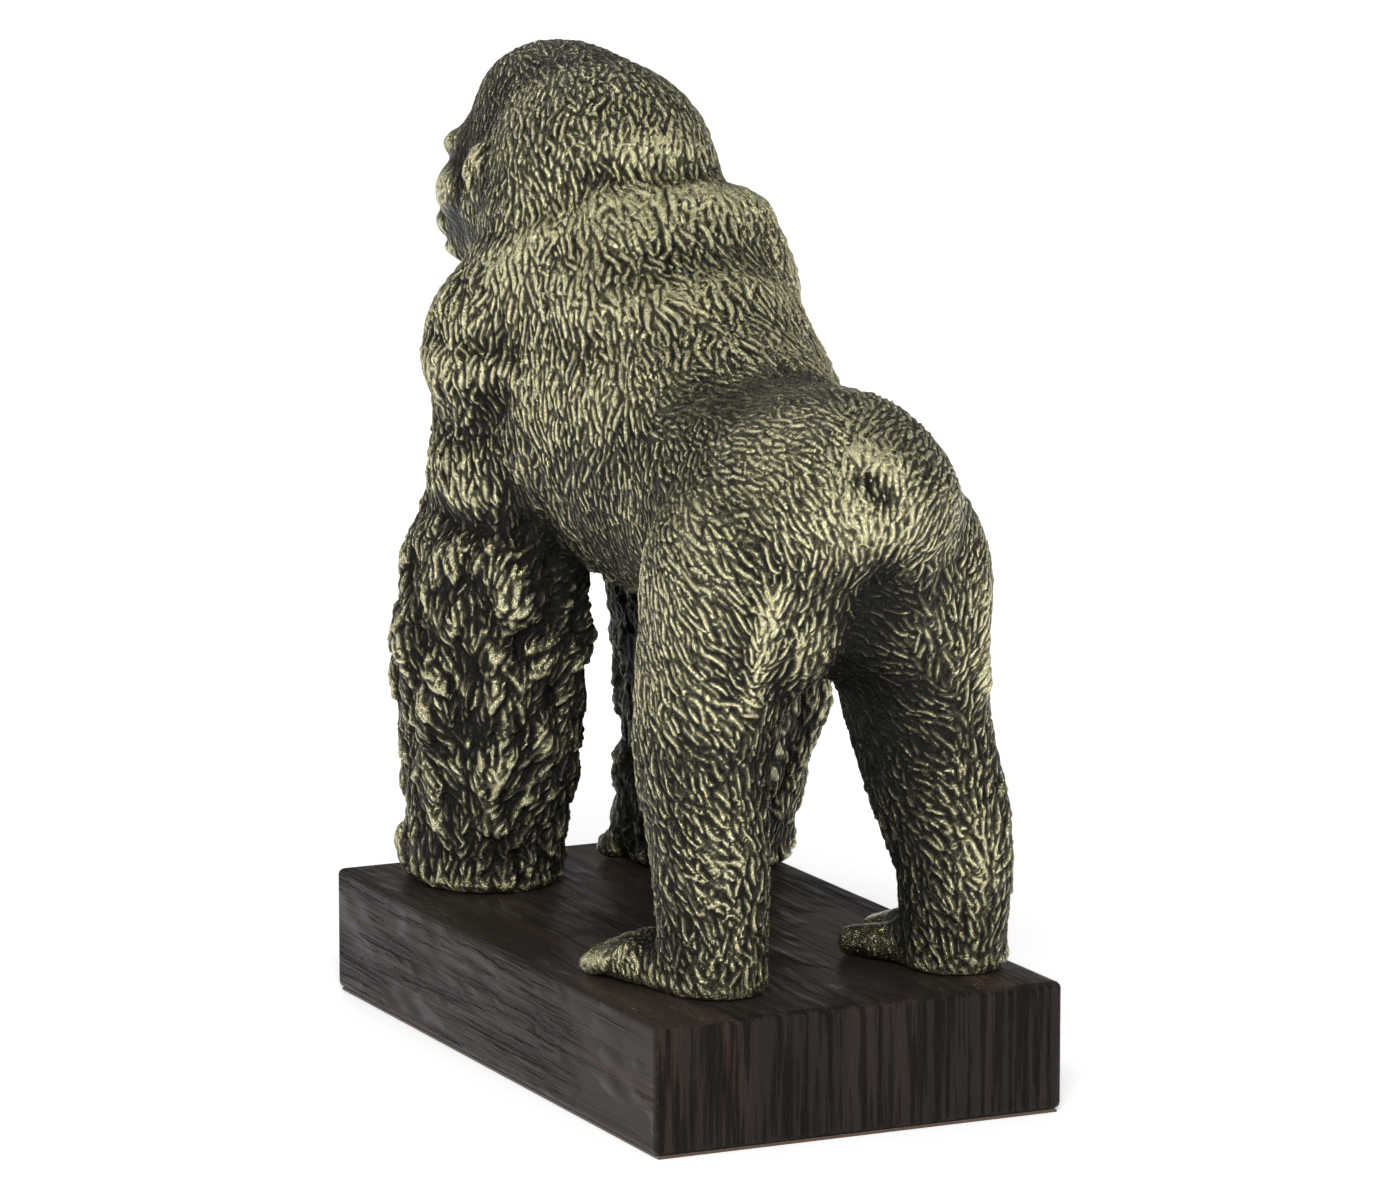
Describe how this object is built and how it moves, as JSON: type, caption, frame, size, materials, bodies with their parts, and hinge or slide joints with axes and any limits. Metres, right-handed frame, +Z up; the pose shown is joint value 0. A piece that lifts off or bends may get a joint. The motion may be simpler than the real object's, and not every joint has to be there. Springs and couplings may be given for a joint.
{
  "type": "gorilla figurine",
  "caption": "Cast gorilla standing on all fours with carved fur, screwed to a dark rectangular wooden plinth with a felt underside.",
  "frame": {"origin": "middle of the felt underside, on the surface it stands on", "axes": "+Z up, the gorilla faces -Y, and its left side is +X"},
  "size_m": [0.1932, 0.3431, 0.388],
  "materials": {
    "antique_brass": "antiqued, dark in the recesses and pale on the ridges, satin",
    "dark_wood": "ebonised open grain, wire brushed, satin",
    "brown_felt": "matte pressed felt",
    "zinc_plated_steel": "zinc plated"
  },
  "bodies": {
    "root": {"gorilla_figure": "antique_brass", "wood_plinth": "dark_wood", "base_felt": "brown_felt", "screw_1": "zinc_plated_steel", "screw_2": "zinc_plated_steel", "screw_3": "zinc_plated_steel", "screw_4": "zinc_plated_steel", "washer_1": "zinc_plated_steel", "washer_2": "zinc_plated_steel", "washer_3": "zinc_plated_steel", "washer_4": "zinc_plated_steel"}
  },
  "joints": []
}
